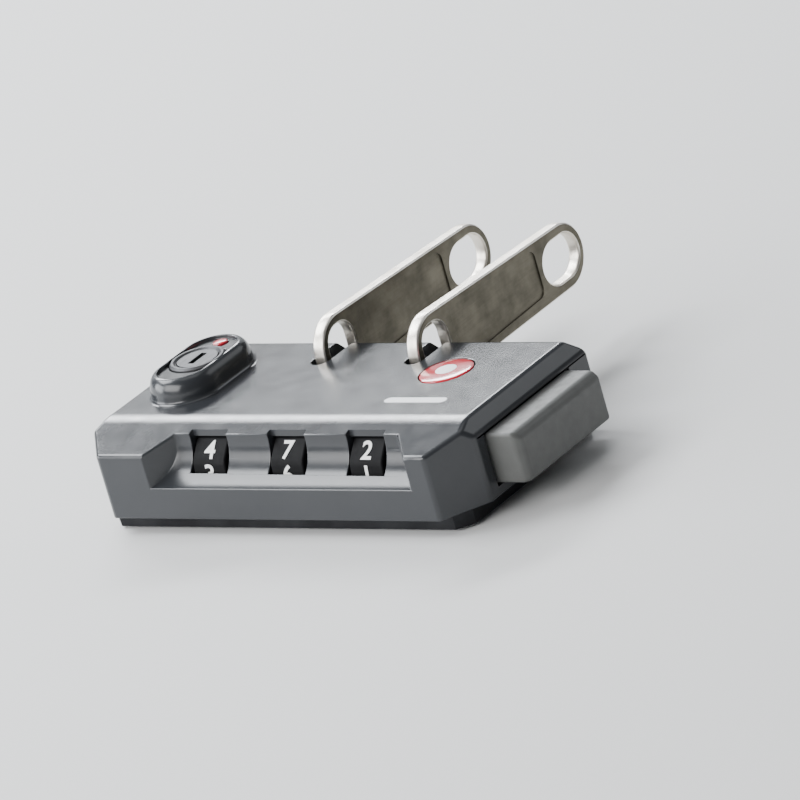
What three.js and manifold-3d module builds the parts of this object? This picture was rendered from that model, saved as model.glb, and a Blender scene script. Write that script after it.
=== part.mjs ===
// Combination lock for a backpack's zip, mounted through the bag's skin.
//
// The lock holds two zip pullers that drop into slots in its top. Three number dials on the front free
// the push button on the right; the button draws a latch out of both pullers. A key cylinder in the oval
// boss on the left draws the locking fence back instead, and the reset button on the left end of the dial
// shaft slides the clutch sleeves out of the dials so that they can be set to a new number.
//
// Millimetres. +X runs to the right along the dials, +Y to the back, +Z up out of the bag.
// The group's children are drawn with the dials' design heights, and the group is raised by FOOT so that
// the underside of the chassis is the exported z = 0.

import * as THREE from "three";
import { mergeVertices } from "three/addons/utils/BufferGeometryUtils.js";
import Module from "manifold-3d";

const wasm = await Module();
wasm.setup();

// ---------------------------------------------------------------- driving dimensions
const FOOT = 0.5; // the chassis's underside is at z = -FOOT
const BASE = 1.5; // the cover's lower rim, which rests on the bag's skin
const ROUND = 24; // sides of a visible round piece
const SMALL_ROUND = 12; // sides of a hidden or small round piece

const COVER = {
  height: 12,
  front: -16.2,
  back: 13.9,
  halfWidth: 29,
  topHalfWidth: 27.6,
  frontHalfWidth: 25,
  cornerRun: 5.5, // how far back the cut corners reach
  bevelDrop: 2.1,
  frontBevel: 6.6,
  sideDrop: 2,
  backBevel: 2,
  wall: 1.4,
  ceiling: 10.6,
};
const TOP_FRONT = COVER.front + COVER.frontBevel; // y of the top plate's front edge
const INNER_SIDE = COVER.halfWidth - COVER.wall;
const INNER_BACK = COVER.back - COVER.wall;

const DIAL = { radius: 5, width: 5, y: -9.1, z: 5.9, pitch: 12, middle: 2, count: 3, faces: 10 };
const DIAL_X = Array.from({ length: DIAL.count }, (_, i) => DIAL.middle + (i - 1) * DIAL.pitch);
const DIAL_BAY = { radius: 5.25, halfWidth: 2.8, notch: [-12.9, -11.6] };
const CLUTCH_BAY = { radius: 3.5, left: -21, right: 23.5 };
const NOSE_BACK = -4.6; // the cover is solid in front of this, apart from the dial bays
const NOSE_FLOOR = 4.9;
const CORNER_BOSS_TOP = 3.9;
const CASE_BOSS_LOW = 3.9;
const GROOVE = { halfLength: 20, top: [-12.4, 11.1], inner: [-13.55, 7.2], lip: [-16.2, 5.6], endSlant: 3.4 };

const DETENT = { sheet: 0.25, front: -2.8, back: -0.8, tip: [-6.45, 1.65], rivets: [-4, 8], rivetY: -1.7 };
const SHAFT = { radius: 1.25, left: -24, right: 21.8, collar: 2, spring: [-20.1, -15.6] };
const CLUTCH = { bore: 1.4, hub: 2.2, lug: 2.9, flange: 3.3 };
const DIAL_BORE = { plain: 2.35, notched: 3.05 };
const RESET = { radius: 1.5, left: -28.6, hole: 1.7 };

const BUTTON = {
  outer: 33.5,
  inner: 27.3,
  front: -8.6,
  back: 9.4,
  low: 2.9,
  high: 9.4,
  wall: 1.3,
  chamfer: 0.8,
};
const BUTTON_GAP = 0.25;
const BUTTON_BAY = { left: 21.7, front: 1.2 }; // how far in, and in front of the button, its bay reaches

const PULLER_X = [-5.8, 8.6];
const PULLER = {
  thickness: 1.8,
  nearTop: [10.8, 12.2], // centre of the corner above the slot
  farEnd: [38.6, 11.1], // centre of the round end
  round: 4.2, // radius of both
  toe: [10, 9.4],
  toeRadius: 3.4,
  heel: [14.4, 6.9],
};
const HOOK_HOLE = { y: [7.9, 13.1], z: [7.7, 15.1], corner: 2.4 };
const EYE = { y: 37.9, z: 11.1, halfLength: 1, radius: 2.8 };
const PIVOT = { y: 10.5, z: 9.3 }; // the latch finger that a puller swings on
const SLOT = { halfWidth: 1.25, front: 5.4, floor: 4.9, sill: 6.1, wall: 0.85 };

const LATCH = { low: 8.4, high: 10.2, front: 0.2, back: 3.8, left: -11, right: 22 };
const LATCH_SPRING = { left: -3.5, length: 7, y: 8.2, z: 9.2 };

const CYLINDER = { x: -20.3, y: 1.4, plug: 2.6, bore: 2.75, body: 4.2, neck: 3.6, low: 5.6, top: 14.8 };
const PLUG_LOW = 4.7;
const BOSS = { radius: 4.7, halfLine: 3, top: 15, hole: 3.75 };
const CAM = { radius: 2.3, throw: 1.5, pin: 0.7, square: 0.9, low: 3.4, high: 4.4 };

const FENCE = { low: 1.9, high: 3.1, front: -5.4, web: -3.8, back: 2.4, left: -20.95, right: 18.6, tip: 6.6 };
const FENCE_SPRING = { x: 1.4, length: 5 };
const BADGE = { x: 15.6, y: 3.6, radius: 3.4, pocket: 0.5 };
const DOT = { y: 6.3, radius: 0.95 };

const TUB = { halfWidth: 22.6, front: -12.5, back: 10.2, wall: 1.2, floor: 0.9, flange: 0.8 };
const CLAMP = { halfWidth: 27.4, front: -14.6, back: 13.6, thick: 1.8, corner: 1.8 };
const CLAMP_SCREWS = [[-25.4, -11.7], [25.4, -11.7], [-25, 11.3], [25, 11.3]];
const CLAMP_BOSS = { front: 1.8, back: 1.45 }; // radii
const CASE_SCREWS = [[-2.7, -12.9], [9.3, -12.9], [-17.5, 10.7], [17.5, 10.7]];
const CASE_SCREW_LOW = BASE + 0.2;
const SCREW = { shank: 0.8, head: 1.6, headHeight: 0.95 };

// ---------------------------------------------------------------- solids from three.js geometry
// A closed three.js geometry as a manifold-3d solid.
function solid(geometry) {
  const bare = geometry.clone();
  bare.deleteAttribute("normal");
  bare.deleteAttribute("uv");
  const merged = mergeVertices(bare, 1e-4);
  return new wasm.Manifold(
    new wasm.Mesh({
      numProp: 3,
      vertProperties: merged.attributes.position.array,
      triVerts: new Uint32Array(merged.index.array),
    }),
  );
}

function geometryOf(made) {
  const mesh = made.getMesh();
  const geometry = new THREE.BufferGeometry();
  geometry.setAttribute("position", new THREE.BufferAttribute(mesh.vertProperties, 3));
  geometry.setIndex(new THREE.BufferAttribute(mesh.triVerts, 1));
  geometry.computeVertexNormals();
  return geometry;
}

function box(x, y, z) {
  const geometry = new THREE.BoxGeometry(x[1] - x[0], y[1] - y[0], z[1] - z[0]);
  geometry.translate((x[0] + x[1]) / 2, (y[0] + y[1]) / 2, (z[0] + z[1]) / 2);
  return solid(geometry);
}

// A cylinder along Z from low to high, centred on (x, y).
function post(x, y, radius, low, high, sides = SMALL_ROUND) {
  const geometry = new THREE.CylinderGeometry(radius, radius, high - low, sides);
  geometry.rotateX(Math.PI / 2);
  geometry.translate(x, y, (low + high) / 2);
  return solid(geometry);
}

// A cylinder along X from left to right, centred on (y, z).
function rod(y, z, radius, left, right, sides = SMALL_ROUND) {
  const geometry = new THREE.CylinderGeometry(radius, radius, right - left, sides);
  geometry.rotateZ(Math.PI / 2);
  geometry.translate((left + right) / 2, y, z);
  return solid(geometry);
}

// A Shape drawn in (x, y), extruded up from low to high.
function standing(shape, low, high) {
  const depth = high - low;
  const geometry = new THREE.ExtrudeGeometry(shape, { depth, bevelEnabled: false, curveSegments: 10 });
  geometry.translate(0, 0, low);
  return solid(geometry);
}

// A Shape drawn in (y, z), extruded along X from left to right.
function lying(shape, left, right) {
  const depth = right - left;
  const geometry = new THREE.ExtrudeGeometry(shape, { depth, bevelEnabled: false, curveSegments: 8 });
  geometry.applyMatrix4(new THREE.Matrix4().set(0, 0, 1, left, 1, 0, 0, 0, 0, 1, 0, 0, 0, 0, 0, 1));
  return solid(geometry);
}

// A Shape drawn in (x, z), extruded along Y from front to back.
function facing(shape, front, back) {
  const geometry = new THREE.ExtrudeGeometry(shape, { depth: back - front, bevelEnabled: false });
  geometry.rotateX(Math.PI / 2);
  geometry.translate(0, back, 0);
  return solid(geometry);
}

function outline(points) {
  return new THREE.Shape(points.map(([a, b]) => new THREE.Vector2(a, b)));
}

function joined(...solids) {
  return solids.reduce((all, next) => all.add(next));
}

// A closed helical spring of round wire. It runs from start along the unit vector axis.
function coil(start, axis, length, radius, wire, turns) {
  const along = new THREE.Vector3(...axis);
  const turn = new THREE.Quaternion().setFromUnitVectors(new THREE.Vector3(0, 0, 1), along);
  const points = [];
  const stepsPerTurn = 8;
  for (let i = 0; i <= turns * stepsPerTurn; i++) {
    const angle = (i / stepsPerTurn) * 2 * Math.PI;
    const height = wire + ((length - 2 * wire) * i) / (turns * stepsPerTurn);
    const point = new THREE.Vector3(radius * Math.cos(angle), radius * Math.sin(angle), height);
    points.push(point.applyQuaternion(turn).add(new THREE.Vector3(...start)));
  }
  const section = new THREE.Shape();
  section.absarc(0, 0, wire, 0, 2 * Math.PI, false);
  const path = new THREE.CatmullRomCurve3(points);
  const steps = turns * stepsPerTurn;
  const geometry = new THREE.ExtrudeGeometry(section, { steps, extrudePath: path, curveSegments: 2 });
  return solid(geometry);
}

// ---------------------------------------------------------------- materials
function finish(color, roughness, metalness) {
  return new THREE.MeshStandardMaterial({ color, roughness, metalness });
}
const BLACK_CAST = finish(0x3a3c3d, 0.5, 0.35);
const BLACK_PLASTIC = finish(0x1d1f20, 0.6, 0);
const GUNMETAL = finish(0x8a8378, 0.3, 0.9);
const STEEL = finish(0xb4b6b8, 0.35, 1);
const BRASS = finish(0xb89b5a, 0.4, 1);
const RED_ENAMEL = finish(0xb8232f, 0.3, 0);
const DIAL_PLASTIC = finish(0x141516, 0.45, 0);

const lock = new THREE.Group();

function place(name, made, material) {
  const mesh = new THREE.Mesh(geometryOf(made), material);
  mesh.name = name;
  lock.add(mesh);
}

// ---------------------------------------------------------------- top cover
// The cover's outline in plan, moved in by inset: a rectangle with its two front corners cut.
function coverOutline(inset) {
  const side = COVER.halfWidth - inset;
  const back = COVER.back - inset;
  const front = COVER.front + inset;
  const halfFront = COVER.frontHalfWidth - inset * 0.55;
  const corner = COVER.front + COVER.cornerRun - inset * 0.4;
  return outline([
    [-halfFront, front],
    [halfFront, front],
    [side, corner],
    [side, back],
    [-side, back],
    [-side, corner],
  ]);
}

function coverShell() {
  const top = COVER.height;
  const reach = COVER.halfWidth + 1;
  const outer = standing(coverOutline(0), BASE, top);
  const frontWedge = lying(
    outline([
      [TOP_FRONT, top],
      [COVER.front, top - COVER.bevelDrop],
      [COVER.front - 1, top - COVER.bevelDrop],
      [COVER.front - 1, top + 1],
      [TOP_FRONT, top + 1],
    ]),
    -reach,
    reach,
  );
  const backWedge = lying(
    outline([
      [COVER.back - COVER.backBevel, top],
      [COVER.back - COVER.backBevel, top + 1],
      [COVER.back + 1, top + 1],
      [COVER.back + 1, top - COVER.backBevel],
      [COVER.back, top - COVER.backBevel],
    ]),
    -reach,
    reach,
  );
  const sideWedge = (side) =>
    facing(
      outline([
        [side * COVER.topHalfWidth, top],
        [side * COVER.halfWidth, top - COVER.sideDrop],
        [side * (COVER.halfWidth + 1), top - COVER.sideDrop],
        [side * (COVER.halfWidth + 1), top + 1],
        [side * COVER.topHalfWidth, top + 1],
      ]),
      COVER.front - 1,
      COVER.back + 1,
    );
  return outer.subtract(frontWedge).subtract(backWedge).subtract(sideWedge(1)).subtract(sideWedge(-1));
}

// The long groove across the front that the dials show in, with slanted ends.
function dialGroove() {
  const section = outline([
    GROOVE.top,
    GROOVE.inner,
    GROOVE.lip,
    [GROOVE.lip[0] - 1, GROOVE.lip[1]],
    [GROOVE.lip[0] - 1, GROOVE.top[1] + 1],
    [GROOVE.top[0], GROOVE.top[1] + 1],
  ]);
  const whole = lying(section, DIAL.middle - GROOVE.halfLength, DIAL.middle + GROOVE.halfLength);
  const deep = GROOVE.top[0] + 0.5;
  const end = (side) =>
    standing(
      outline([
        [DIAL.middle + side * GROOVE.halfLength, COVER.front],
        [DIAL.middle + side * (GROOVE.halfLength - GROOVE.endSlant), deep],
        [DIAL.middle + side * (GROOVE.halfLength + 1), deep],
        [DIAL.middle + side * (GROOVE.halfLength + 1), COVER.front],
      ]),
      0,
      COVER.height + 2,
    );
  return whole.subtract(end(1)).subtract(end(-1));
}

// A stadium in plan, long way along Y.
function stadium(x, y, halfLine, radius) {
  const shape = new THREE.Shape();
  shape.absarc(x, y + halfLine, radius, 0, Math.PI, false);
  shape.absarc(x, y - halfLine, radius, Math.PI, 2 * Math.PI, false);
  return shape;
}

// A round bay for the dials or the sleeves, open straight down.
function dialBay(radius, left, right) {
  const below = box([left, right], [DIAL.y - radius, DIAL.y + radius], [NOSE_FLOOR - 0.5, DIAL.z]);
  return rod(DIAL.y, DIAL.z, radius, left, right, ROUND).add(below);
}

// A pocket's walls for each puller, and what is cut from them: the slot, open at the top and at the back
// above its sill, and the windows for the latch's finger.
const HALF_POCKET = SLOT.halfWidth + SLOT.wall;
function pocketWalls(x) {
  return box(
    [x - HALF_POCKET, x + HALF_POCKET],
    [SLOT.front - SLOT.wall, INNER_BACK + 0.2],
    [SLOT.floor - SLOT.wall, COVER.ceiling + 0.2],
  );
}

function pocketCuts(x) {
  const slotX = [x - SLOT.halfWidth, x + SLOT.halfWidth];
  const halfWindow = 1.25;
  const windowX = [x - HALF_POCKET - 0.1, x + HALF_POCKET + 0.1];
  const windowY = [PIVOT.y - halfWindow, PIVOT.y + halfWindow];
  return joined(
    box(slotX, [SLOT.front, INNER_BACK], [SLOT.floor, COVER.height + 1]),
    box(slotX, [INNER_BACK - 0.1, COVER.back + 1], [SLOT.sill, COVER.height + 1]),
    box(windowX, windowY, [LATCH.low - 0.3, COVER.ceiling]),
  );
}

// The side wall above this stays thick up to the side bevels.
const SIDE_KEEP = { z: COVER.ceiling - COVER.sideDrop / 2, extra: 0.6 };

// The room behind the dials.
function rearRoom() {
  const room = box([-INNER_SIDE, INNER_SIDE], [NOSE_BACK, INNER_BACK], [0, COVER.ceiling]);
  const keep = (x) => box(x, [NOSE_BACK, INNER_BACK + 1], [SIDE_KEEP.z, COVER.height]);
  return room
    .subtract(keep([INNER_SIDE - SIDE_KEEP.extra, INNER_SIDE + 1]))
    .subtract(keep([-INNER_SIDE - 1, -INNER_SIDE + SIDE_KEEP.extra]));
}

// The button's opening through the side wall, and the bay that it moves back into.
function buttonRoom() {
  const z = [BUTTON.low - BUTTON_GAP, BUTTON.high + BUTTON_GAP];
  const y = [BUTTON.front - BUTTON_GAP, BUTTON.back + BUTTON_GAP];
  return joined(
    box([INNER_SIDE - 1, COVER.halfWidth + 1], y, z),
    box([BUTTON_BAY.left, INNER_SIDE], [BUTTON.front - BUTTON_BAY.front, y[1]], z),
  );
}

function topCover() {
  let cover = coverShell()
    .subtract(standing(coverOutline(COVER.wall), -1, NOSE_FLOOR))
    .subtract(rearRoom())
    .subtract(dialGroove())
    .add(standing(stadium(CYLINDER.x, CYLINDER.y, BOSS.halfLine, BOSS.radius), COVER.ceiling, BOSS.top));

  // Bosses for the screws hang down inside.
  const roof = COVER.ceiling + 0.2;
  for (const [x, y] of CLAMP_SCREWS) {
    const [radius, high] = y < 0 ? [CLAMP_BOSS.front, CORNER_BOSS_TOP] : [CLAMP_BOSS.back, roof];
    cover = cover.add(post(x, y, radius, BASE, high));
  }
  for (const [x, y] of CASE_SCREWS) {
    cover = cover.add(post(x, y, 1.5, CASE_BOSS_LOW, y < 0 ? NOSE_FLOOR + 0.2 : roof));
  }

  for (const x of PULLER_X) cover = cover.add(pocketWalls(x));
  for (const x of PULLER_X) cover = cover.subtract(pocketCuts(x));

  const { notch, halfWidth, radius } = DIAL_BAY;
  const fenceSlot = { y: [-5.8, NOSE_BACK + 0.1], z: [NOSE_FLOOR - 0.5, 7] };
  for (const x of DIAL_X) {
    cover = cover
      .subtract(dialBay(radius, x - halfWidth, x + halfWidth))
      .subtract(box([x - halfWidth, x + halfWidth], notch, [DIAL.z + 4, COVER.height]))
      .subtract(box([x + 2.6, x + 4.8], fenceSlot.y, fenceSlot.z));
  }
  cover = cover
    .subtract(dialBay(CLUTCH_BAY.radius, CLUTCH_BAY.left, CLUTCH_BAY.right))
    .subtract(rod(DIAL.y, DIAL.z, RESET.hole, -COVER.halfWidth - 1, CLUTCH_BAY.left + 0.1, ROUND))
    .subtract(buttonRoom());

  // The cylinder's bore, the pockets for the badge and the dot, and the screw holes.
  const badgeHole = BADGE.radius + 0.15;
  cover = cover
    .subtract(post(CYLINDER.x, CYLINDER.y, BOSS.hole, COVER.ceiling - 1, BOSS.top + 1, ROUND))
    .subtract(post(BADGE.x, BADGE.y, badgeHole, COVER.height - BADGE.pocket, COVER.height + 1, ROUND))
    .subtract(post(CYLINDER.x, DOT.y, DOT.radius + 0.1, BOSS.top - 0.9, BOSS.top + 1));
  const pilot = SCREW.shank + 0.1;
  for (const [x, y] of CLAMP_SCREWS) cover = cover.subtract(post(x, y, pilot, 0, CORNER_BOSS_TOP - 0.3));
  for (const [x, y] of CASE_SCREWS) cover = cover.subtract(post(x, y, pilot, 0, NOSE_FLOOR + 1.4));
  return cover;
}
place("top_cover", topCover(), BLACK_CAST);

// ---------------------------------------------------------------- chassis, below the cover
const FLOOR_TOP = -FOOT + TUB.floor;
const FLANGE_TOP = BASE + TUB.flange;

function chassis() {
  const gap = 0.3;
  const flangeOutline = coverOutline(COVER.wall + gap);
  const innerX = TUB.halfWidth - TUB.wall;
  const inner = [TUB.front + TUB.wall, TUB.back - TUB.wall];
  let made = joined(
    standing(flangeOutline, BASE, FLANGE_TOP),
    box([-TUB.halfWidth, TUB.halfWidth], [TUB.front, TUB.back], [-FOOT, BASE + 0.4]),
  );
  const bosses = CASE_SCREWS.map(([x, y]) => post(x, y, 2.2, BASE + 0.1, CASE_BOSS_LOW - gap));
  made = made.add(joined(...bosses).intersect(standing(flangeOutline, BASE, CASE_BOSS_LOW)));
  made = made
    .subtract(box([-innerX, innerX], inner, [FLOOR_TOP, CASE_BOSS_LOW]))
    .subtract(rod(DIAL.y, DIAL.z, CLUTCH_BAY.radius, CLUTCH_BAY.left, CLUTCH_BAY.right, ROUND));

  // Cradles for the dial shaft, pads under the fence, and a stop for the fence's spring.
  const cradle = (left, right) =>
    box([left, right], [DIAL.y - 1.3, DIAL.y + 2.1], [FLOOR_TOP - 0.2, DIAL.z]).subtract(
      rod(DIAL.y, DIAL.z, SHAFT.radius + 0.12, left - 1, right + 1),
    );
  const pad = (x) => box([x - 0.6, x + 0.6], [-0.5, 4.2], [FLOOR_TOP - 0.2, FENCE.low - gap]);
  const springStop = FENCE.back + FENCE_SPRING.length + 0.2;
  made = joined(
    made,
    cradle(-15.4, -13.9),
    cradle(20.7, 21.4),
    pad(-12),
    pad(16),
    box([FENCE_SPRING.x - 2.8, FENCE_SPRING.x + 2.8], [springStop, inner[1] + 0.2], [FLOOR_TOP - 0.2, 4]),
  );

  for (const x of DIAL_X) {
    const { radius, halfWidth } = DIAL_BAY;
    made = made.subtract(rod(DIAL.y, DIAL.z, radius, x - halfWidth, x + halfWidth, ROUND));
  }
  for (const [x, y] of CLAMP_SCREWS) made = made.subtract(post(x, y, CLAMP_BOSS.front + gap, BASE - 1, 5));
  for (const [x, y] of CASE_SCREWS) {
    made = made
      .subtract(post(x, y, SCREW.shank + 0.1, 0, 5))
      .subtract(post(x, y, SCREW.head + 0.1, 0, CASE_SCREW_LOW + SCREW.headHeight + 0.05));
  }
  for (const x of DETENT.rivets) made = made.subtract(post(x, DETENT.rivetY, 0.6, -FOOT - 1, 1));
  return made;
}
place("chassis", chassis(), BLACK_PLASTIC);

const CLAMP_LOW = BASE - CLAMP.thick;
function clampFrame() {
  const clear = 0.4;
  const side = CLAMP.halfWidth;
  const { front, back, corner } = CLAMP;
  const rim = outline([
    [-side + corner, front],
    [side - corner, front],
    [side, front + corner],
    [side, back - 1],
    [side - 1, back],
    [-side + 1, back],
    [-side, back - 1],
    [-side, front + corner],
  ]);
  let made = standing(rim, CLAMP_LOW, BASE).subtract(
    box(
      [-TUB.halfWidth - clear, TUB.halfWidth + clear],
      [TUB.front - clear, TUB.back + clear],
      [CLAMP_LOW - 1, BASE + 1],
    ),
  );
  for (const [x, y] of CLAMP_SCREWS) {
    made = made
      .subtract(post(x, y, SCREW.shank + 0.15, CLAMP_LOW - 1, BASE + 1))
      .subtract(post(x, y, SCREW.head + 0.1, CLAMP_LOW - 1, CLAMP_LOW + SCREW.headHeight + 0.1));
  }
  return made;
}
place("clamp_frame", clampFrame(), STEEL);

// A slotted pan-head screw that stands point up, its head's free face at z.
function screw(x, y, z, length) {
  const head = post(x, y, SCREW.head, z, z + SCREW.headHeight);
  const shank = post(x, y, SCREW.shank - 0.05, z + SCREW.headHeight - 0.1, z + length);
  const slot = { halfLength: 1.2, halfWidth: 0.2, depth: 0.45 };
  const slotX = [x - slot.halfLength, x + slot.halfLength];
  const slotY = [y - slot.halfWidth, y + slot.halfWidth];
  return head.add(shank).subtract(box(slotX, slotY, [z - 1, z + slot.depth]));
}
const CLAMP_SCREW_LENGTH = CORNER_BOSS_TOP - 0.5 - CLAMP_LOW;
const CASE_SCREW_LENGTH = 4.4;
CLAMP_SCREWS.forEach(([x, y], i) => {
  place(`clamp_screw_${i + 1}`, screw(x, y, CLAMP_LOW, CLAMP_SCREW_LENGTH), STEEL);
});
CASE_SCREWS.forEach(([x, y], i) => {
  place(`case_screw_${i + 1}`, screw(x, y, CASE_SCREW_LOW, CASE_SCREW_LENGTH), STEEL);
});

// ---------------------------------------------------------------- dials, clutch sleeves and their shaft
const aroundDial = (radius, angle) => [DIAL.y + radius * Math.cos(angle), DIAL.z + radius * Math.sin(angle)];

// A regular outline about the dials' axis with its first corner half a side above the +Y direction.
function polygon(radius, sides) {
  const step = (2 * Math.PI) / sides;
  return outline(Array.from({ length: sides }, (_, i) => aroundDial(radius, (i + 0.5) * step)));
}

// The dial's inner outline at its clutch end: a bore with one notch for each number.
function notchedBore() {
  const half = 0.16;
  const points = [];
  for (let i = 0; i < DIAL.faces; i++) {
    const middle = (i / DIAL.faces) * 2 * Math.PI;
    points.push(aroundDial(DIAL_BORE.plain, middle - half));
    points.push(aroundDial(DIAL_BORE.notched, middle - half));
    points.push(aroundDial(DIAL_BORE.notched, middle + half));
    points.push(aroundDial(DIAL_BORE.plain, middle + half));
  }
  return outline(points);
}

function dialWheel(x) {
  const half = DIAL.width / 2;
  const split = 1;
  const cornerCut = 0.15;
  const rimSides = 30;
  const body = lying(polygon(DIAL.radius, DIAL.faces), x - half, x + half);
  const rim = lying(polygon(DIAL.radius - cornerCut, rimSides), x - half, x + half);
  const plainBore = lying(polygon(DIAL_BORE.plain, SMALL_ROUND), x - half - 1, x + split);
  return body.intersect(rim).subtract(plainBore).subtract(lying(notchedBore(), x + split, x + half + 1));
}

// The sleeve that a dial turns: two lugs sit in the dial's notches, and its flange carries the gate.
function clutchSleeve(x) {
  const hub = rod(DIAL.y, DIAL.z, CLUTCH.hub, x - 2.3, x + 3);
  const flange = rod(DIAL.y, DIAL.z, CLUTCH.flange, x + 2.9, x + 4.1, ROUND);
  const halfLug = 0.3;
  const lugY = [DIAL.y - CLUTCH.lug, DIAL.y + CLUTCH.lug];
  const lugs = box([x + 1.2, x + 2.4], lugY, [DIAL.z - halfLug, DIAL.z + halfLug]);
  const halfGate = 0.9;
  const gateY = [DIAL.y + CLUTCH.flange - 1, DIAL.y + CLUTCH.flange + 1];
  const gate = box([x + 2.5, x + 5], gateY, [DIAL.z - halfGate, DIAL.z + halfGate]);
  const bore = rod(DIAL.y, DIAL.z, CLUTCH.bore, x - 4, x + 6);
  return joined(hub, flange, lugs).subtract(gate).subtract(bore);
}

DIAL_X.forEach((x, i) => place(`dial_wheel_${i + 1}`, dialWheel(x), DIAL_PLASTIC));
DIAL_X.forEach((x, i) => place(`clutch_sleeve_${i + 1}`, clutchSleeve(x), BRASS));

function dialShaft() {
  const collar = (left, right) => rod(DIAL.y, DIAL.z, SHAFT.collar, left, right);
  let made = rod(DIAL.y, DIAL.z, SHAFT.radius, SHAFT.left, SHAFT.right);
  for (const x of DIAL_X) made = made.add(collar(x - 3.1, x - 2.6)).add(collar(x + 4.3, x + 4.8));
  return made.add(collar(SHAFT.spring[0] - 0.8, SHAFT.spring[0] - 0.2));
}
place("dial_shaft", dialShaft(), STEEL);

// The reset button is a cap on the shaft's left end.
place(
  "reset_button",
  rod(DIAL.y, DIAL.z, RESET.radius, RESET.left, SHAFT.left - 0.3, ROUND),
  BRASS,
);
place(
  "shaft_spring",
  coil([SHAFT.spring[0], DIAL.y, DIAL.z], [1, 0, 0], SHAFT.spring[1] - SHAFT.spring[0], 1.95, 0.22, 4),
  STEEL,
);

// One leaf, riveted to the chassis, whose three fingers click on the dials.
function detentSpring() {
  const { sheet, front, back, tip, rivets, rivetY } = DETENT;
  const low = FLOOR_TOP + 0.1;
  const halfFinger = 1.2;
  let made = box([DIAL_X[0] - 1.6, DIAL_X[2] + 1.6], [front, back], [low, low + sheet]);
  const finger = outline([
    [front + 0.1, low],
    [tip[0] + 0.1, tip[1] - 0.2],
    tip,
    [front + 0.2, low + sheet],
  ]);
  for (const x of DIAL_X) made = made.add(lying(finger, x - halfFinger, x + halfFinger));
  for (const x of rivets) made = made.subtract(post(x, rivetY, 0.6, -3, 3));
  return made;
}
place("detent_spring", detentSpring(), STEEL);
DETENT.rivets.forEach((x, i) => {
  const seat = FLOOR_TOP + 0.1 + DETENT.sheet;
  const head = post(x, DETENT.rivetY, 0.9, seat + 0.05, seat + 0.55);
  const stem = post(x, DETENT.rivetY, 0.5, -FOOT + 0.1, seat + 0.2);
  place(`detent_rivet_${i + 1}`, head.add(stem), STEEL);
});

// ---------------------------------------------------------------- push button and latch
// A hollow cap. A lip at its front and a tongue on its top catch behind the side wall, and its rib pushes
// the latch.
function pushButton() {
  const { outer, inner, front, back, low, high, wall, chamfer } = BUTTON;
  const shell = box([inner, outer], [front, back], [low, high]).subtract(
    box([inner - 1, outer - wall], [front + wall, back - wall], [low + wall, high - wall]),
  );
  const edge = outer - chamfer;
  const topCut = outline([
    [edge, high],
    [outer + 1, high - chamfer - 1],
    [outer + 1, high + 1],
    [edge, high + 1],
  ]);
  const frontCut = outline([
    [edge, front],
    [outer + 1, front + chamfer + 1],
    [outer + 1, front - 1],
    [edge, front - 1],
  ]);
  const catchX = [25.6, 26.8];
  const ribY = [0.6, 3.6];
  const lipZ = [8.1, high];
  const tongueY = [6.4, 9];
  return joined(
    shell.subtract(facing(topCut, front - 1, back + 1)).subtract(standing(frontCut, 0, COVER.height)),
    box([LATCH.right + 0.3, outer - wall + 0.1], ribY, [LATCH.low, high - 0.2]),
    box([catchX[0], inner + wall], [front, front + wall], lipZ),
    box(catchX, [front - 0.9, front + 0.1], lipZ),
    box([catchX[0], inner + wall], tongueY, [high - wall, high]),
    box(catchX, tongueY, [high - 0.1, high + 0.9]),
  );
}
place("push_button", pushButton(), BLACK_PLASTIC);

// A bar across the lock with an arm and a finger for each puller.
function latchSlider() {
  const z = [LATCH.low, LATCH.high];
  let made = box([LATCH.left, LATCH.right], [LATCH.front, LATCH.back], z);
  for (const x of PULLER_X) {
    made = made
      .add(box([x - 5, x - 3.2], [LATCH.back - 0.1, PIVOT.y + 1], z))
      .add(box([x - 3.3, x + 1.9], [PIVOT.y - 1, PIVOT.y + 1], z));
  }
  return made;
}
place("latch_slider", latchSlider(), STEEL);
place(
  "latch_spring",
  coil([LATCH_SPRING.left, LATCH_SPRING.y, LATCH_SPRING.z], [1, 0, 0], LATCH_SPRING.length, 1, 0.2, 6),
  STEEL,
);

// ---------------------------------------------------------------- locking fence
const PIN = {
  x: CYLINDER.x + CAM.throw * Math.SQRT1_2,
  y: CYLINDER.y - CAM.throw * Math.SQRT1_2,
};

// A plate behind the dials. Its fingers stand between them, one for the gate in each sleeve's flange.
function fencePlate() {
  const z = [FENCE.low, FENCE.high];
  let made = box([FENCE.left, FENCE.right], [FENCE.web, FENCE.back], z);
  for (const x of DIAL_X) {
    const fingerX = [x + 2.9, x + 4.1];
    made = made
      .add(box(fingerX, [FENCE.front, FENCE.web + 0.1], z))
      .add(box(fingerX, [FENCE.front, FENCE.front + 1.2], [FENCE.low, FENCE.tip]));
  }
  const halfSlot = CAM.pin + 0.2;
  const slotX = [PIN.x - CAM.pin - 0.3, PIN.x + CAM.pin + 0.8];
  made = made.subtract(box(slotX, [PIN.y - halfSlot, PIN.y + halfSlot], [FENCE.low - 1, FENCE.high + 1]));
  return made.subtract(box([-9, 13], [-2.6, 0.2], [FENCE.low - 1, FENCE.high + 1]));
}
place("locking_fence", fencePlate(), STEEL);
place(
  "fence_spring",
  coil([FENCE_SPRING.x, FENCE.back + 0.1, 2.6], [0, 1, 0], FENCE_SPRING.length, 1.05, 0.2, 5),
  STEEL,
);

// ---------------------------------------------------------------- key cylinder
function cylinderBody() {
  const { x, y, body, neck, bore, low, top } = CYLINDER;
  return post(x, y, body, low, COVER.ceiling - 0.3, ROUND)
    .add(post(x, y, neck, COVER.ceiling - 1, top - 0.1, ROUND))
    .subtract(post(x, y, bore, low - 1, top + 1, ROUND));
}
place("cylinder_body", cylinderBody(), BLACK_CAST);

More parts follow.
